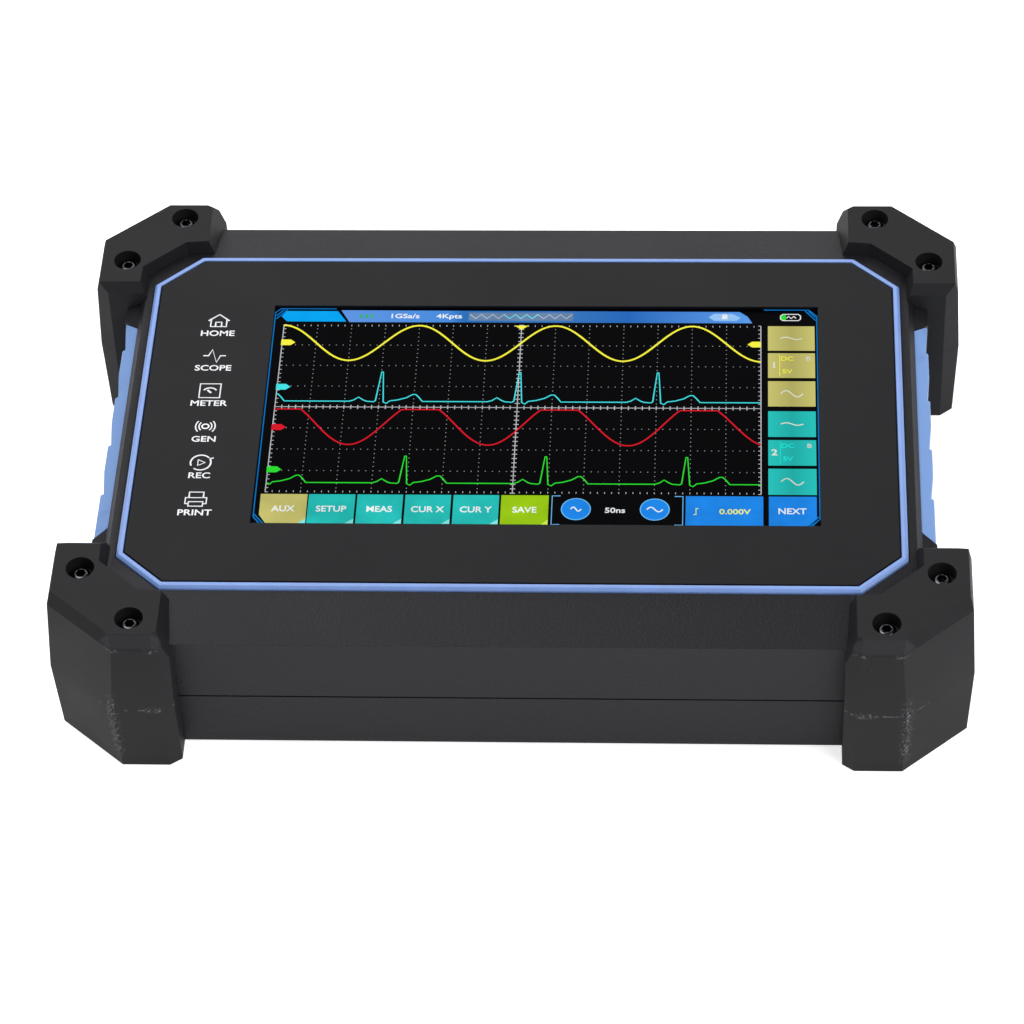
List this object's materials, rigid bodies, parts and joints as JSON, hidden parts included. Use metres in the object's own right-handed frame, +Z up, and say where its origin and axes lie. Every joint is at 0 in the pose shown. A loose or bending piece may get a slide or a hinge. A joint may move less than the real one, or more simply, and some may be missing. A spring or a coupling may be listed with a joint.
{
  "type": "oscilloscope",
  "caption": "Portable oscilloscope in a flat tablet case with a touch screen, rubber corner bumpers, side grips, a connector bay and a fold-out stand.",
  "frame": {"origin": "on the table under the middle of the case, in the plane of the four feet", "axes": "+X right, +Y away from the user towards the connector wall, +Z up out of the screen"},
  "size_m": [0.265, 0.1906, 0.0507],
  "materials": {
    "case_plastic": "fine grained dark grey moulding",
    "panel_film": "smooth matt dark grey",
    "blue_plastic": "light blue moulded trim",
    "blue_grip": "light blue soft grip",
    "bumper_rubber": "matt black rubber with pale rub marks",
    "seal_rubber": "black foam",
    "screen_glass": "dark glossy glass face",
    "black_screw": "blackened steel",
    "board_green": "solder mask",
    "display_metal": "tinned steel",
    "flat_cable": "amber film",
    "plate_plastic": "fine grained black",
    "nickel": "nickel plate",
    "white_insulator": "white",
    "gold_contact": "gold plate",
    "socket_black": "black moulding",
    "socket_red": "red moulding",
    "steel_pin": "plain steel",
    "battery_wrap": "blue shrink wrap",
    "aluminium": "extruded"
  },
  "bodies": {
    "case": {"front_shell": "case_plastic", "rear_shell": "case_plastic", "battery_door": "case_plastic", "front_panel": "panel_film", "trim_ring": "blue_plastic", "side_grip_left": "blue_grip", "side_grip_right": "blue_grip", "bumper_right_far": "bumper_rubber", "bumper_left_far": "bumper_rubber", "bumper_right_near": "bumper_rubber", "bumper_left_near": "bumper_rubber", "shell_seal": "seal_rubber", "display_gasket": "seal_rubber", "touch_glass": "screen_glass", "bumper_screws": "black_screw", "shell_screws": "black_screw", "battery_door_screws": "black_screw", "display_screws": "black_screw", "main_board_screws": "black_screw", "side_grip_screws": "black_screw", "touch_key_board": "board_green", "main_board": "board_green", "meter_board": "board_green", "power_switch": "board_green", "display_module": "display_metal", "display_bracket": "display_metal", "input_shields": "display_metal", "display_cable": "flat_cable", "connector_plate": "plate_plastic", "dc_inlet": "plate_plastic", "coax_socket_channel_1": "nickel", "coax_socket_channel_2": "nickel", "coax_socket_generator": "nickel", "coax_nuts": "nickel", "host_port": "nickel", "device_port": "nickel", "dc_inlet_pin": "nickel", "coax_insulators": "white_insulator", "meter_fuses": "white_insulator", "meter_board_spacers": "white_insulator", "coax_contacts": "gold_contact", "meter_contacts": "gold_contact", "meter_socket_common": "socket_black", "port_tongues": "socket_black", "buzzer": "socket_black", "processor": "socket_black", "memory_chips": "socket_black", "meter_sockets_live": "socket_red", "battery_pack": "battery_wrap", "heat_spreader": "aluminium"},
    "power_button": {"power_button": "plate_plastic"},
    "stand": {"stand": "case_plastic", "stand_foot_strip": "bumper_rubber", "stand_pins": "steel_pin"}
  },
  "joints": [
    {"name": "stand_hinge", "type": "hinge", "parent": "case", "child": "stand", "pos_m": [0, 0.0575, 0.0039], "axis": [1, 0, 0], "range_deg": [0, 70]},
    {"name": "power_button_press", "type": "slide", "parent": "case", "child": "power_button", "axis": [0, -1, 0], "range_m": [0, 0.001], "stiffness_N_per_m": 600, "springref_m": -0.001}
  ]
}
